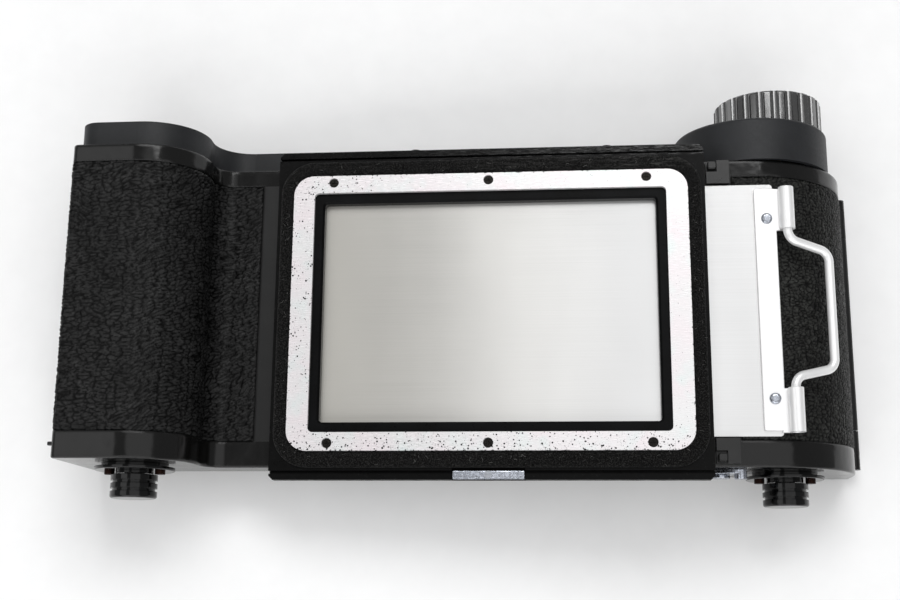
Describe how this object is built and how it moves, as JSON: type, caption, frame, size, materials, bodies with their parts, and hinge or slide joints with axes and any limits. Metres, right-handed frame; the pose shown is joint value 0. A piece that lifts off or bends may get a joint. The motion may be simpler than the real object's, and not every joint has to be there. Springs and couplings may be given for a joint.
{
  "type": "roll film back",
  "caption": "S-section roll film back for a technical camera, with dark slide, wire bail, fluted winding knob, pull knobs, hinged door and film transport.",
  "frame": {"origin": "centre of the silver mask's front face, which seats on the camera", "axes": "+Z along the optical axis towards the lens, +Y towards the winding knob, +X towards the side the dark slide pulls out of"},
  "size_m": [0.1975, 0.1053, 0.0572],
  "materials": {
    "gloss_black": "gloss black enamel on a casting",
    "leatherette": "pebbled black leatherette",
    "felt": "black velvet light seal",
    "mask_silver": "satin silver plating with specks",
    "matte_black": "matt black lacquer",
    "dark_steel": "blackened screws",
    "chrome": "worn chrome plating",
    "aluminium": "brushed aluminium",
    "cover_charcoal": "matt charcoal lacquer",
    "knob_black": "gloss black with flutes",
    "window_glass": "clear window",
    "steel": "turned steel",
    "brass": "brass",
    "dial_white": "white dial",
    "spool_plastic": "black moulded spool"
  },
  "bodies": {
    "body": {"body_casting": "gloss_black", "leather_left": "leatherette", "leather_right": "leatherette", "mount_plate": "gloss_black", "felt_seal": "felt", "silver_mask": "mask_silver", "mask_screws": "dark_steel", "bezel_ring": "matte_black", "catch_plate": "chrome", "catch_screw": "chrome", "slide_bracket_top": "gloss_black", "slide_bracket_bottom": "gloss_black", "top_cover": "cover_charcoal", "counter_window": "window_glass", "cover_screws": "dark_steel", "pawl_stud": "steel", "counter_stud": "steel", "idle_stud": "steel", "supply_knob_flange": "gloss_black", "takeup_knob_flange": "gloss_black", "flange_screws": "brass", "lever_screw": "chrome", "roller_pins": "steel", "body_hinge_leaf": "gloss_black", "hinge_pin": "steel", "latch_screws": "chrome"},
    "slide": {"dark_slide": "aluminium", "slide_handle": "aluminium", "slide_rivets": "aluminium"},
    "bail": {"wire_bail": "aluminium"},
    "winder": {"winding_knob": "knob_black", "knob_cap": "knob_black", "winding_shaft": "steel", "ratchet_wheel": "steel", "shaft_pinion": "brass"},
    "counter": {"counter_gear": "brass", "counter_dial": "dial_white"},
    "spool": {"takeup_spool": "spool_plastic", "spool_flanges": "spool_plastic"},
    "ratchet_pawl": {"pawl": "steel"},
    "supply_knob": {"supply_pull_knob": "gloss_black"},
    "takeup_knob": {"takeup_pull_knob": "gloss_black"},
    "lever": {"lock_lever": "chrome"},
    "left_roller": {"roller_left": "steel"},
    "right_roller": {"roller_right": "steel"},
    "back_door": {"door": "gloss_black", "door_leather": "leatherette", "door_hinge_leaf": "gloss_black", "plate_springs": "brass"},
    "pressure": {"pressure_plate": "matte_black"},
    "latch": {"door_latch": "chrome"}
  },
  "joints": [
    {"name": "dark_slide_pull", "type": "slide", "parent": "body", "child": "slide", "axis": [1, 0, 0], "range_m": [0, 0.095]},
    {"name": "bail_swing", "type": "hinge", "parent": "slide", "child": "bail", "pos_m": [0.0732, 0, -0.0018], "axis": [0, -1, 0], "range_deg": [-18, 110]},
    {"name": "knob_wind", "type": "hinge", "parent": "body", "child": "winder", "pos_m": [0.0729, 0.05, -0.023], "axis": [0, 1, 0], "continuous": true},
    {"name": "counter_turn", "type": "hinge", "parent": "body", "child": "counter", "pos_m": [0.0609, 0.043, -0.023], "axis": [0, 1, 0], "continuous": true},
    {"name": "spool_turn", "type": "hinge", "parent": "body", "child": "spool", "pos_m": [0.0729, 0, -0.023], "axis": [0, 1, 0], "continuous": true},
    {"name": "pawl_lift", "type": "hinge", "parent": "body", "child": "ratchet_pawl", "pos_m": [0.0826, 0.0404, -0.0176], "axis": [0, -1, 0], "range_deg": [0, 8], "stiffness_Nm_per_rad": 0.00002, "springref_deg": -17.19},
    {"name": "supply_knob_pull", "type": "slide", "parent": "body", "child": "supply_knob", "axis": [0, -1, 0], "range_m": [0, 0.0055], "stiffness_N_per_m": 300, "springref_m": -0.002},
    {"name": "takeup_knob_pull", "type": "slide", "parent": "body", "child": "takeup_knob", "axis": [0, -1, 0], "range_m": [0, 0.0055], "stiffness_N_per_m": 300, "springref_m": -0.002},
    {"name": "lock_lever_turn", "type": "hinge", "parent": "body", "child": "lever", "pos_m": [0.0559, -0.039, -0.0135], "axis": [0, -1, 0], "range_deg": [0, 35]},
    {"name": "left_roller_turn", "type": "hinge", "parent": "body", "child": "left_roller", "pos_m": [-0.0683, 0, -0.0087], "axis": [0, 1, 0], "continuous": true},
    {"name": "right_roller_turn", "type": "hinge", "parent": "body", "child": "right_roller", "pos_m": [0.052, 0, -0.0117], "axis": [0, 1, 0], "continuous": true},
    {"name": "door_open", "type": "hinge", "parent": "body", "child": "back_door", "pos_m": [0.09305, 0, -0.0376], "axis": [0, -1, 0], "range_deg": [0, 100]},
    {"name": "pressure_plate_float", "type": "slide", "parent": "back_door", "child": "pressure", "axis": [0, 0, 1], "range_m": [-0.0008, 0], "stiffness_N_per_m": 300, "springref_m": 0.001, "deforming": ["plate_springs"]},
    {"name": "latch_slide", "type": "slide", "parent": "body", "child": "latch", "axis": [0, 1, 0], "range_m": [-0.006, 0]}
  ],
  "couplings": [
    {"joint": "counter_turn", "follows": "knob_wind", "ratio": -0.33333},
    {"joint": "spool_turn", "follows": "knob_wind", "ratio": 1}
  ]
}
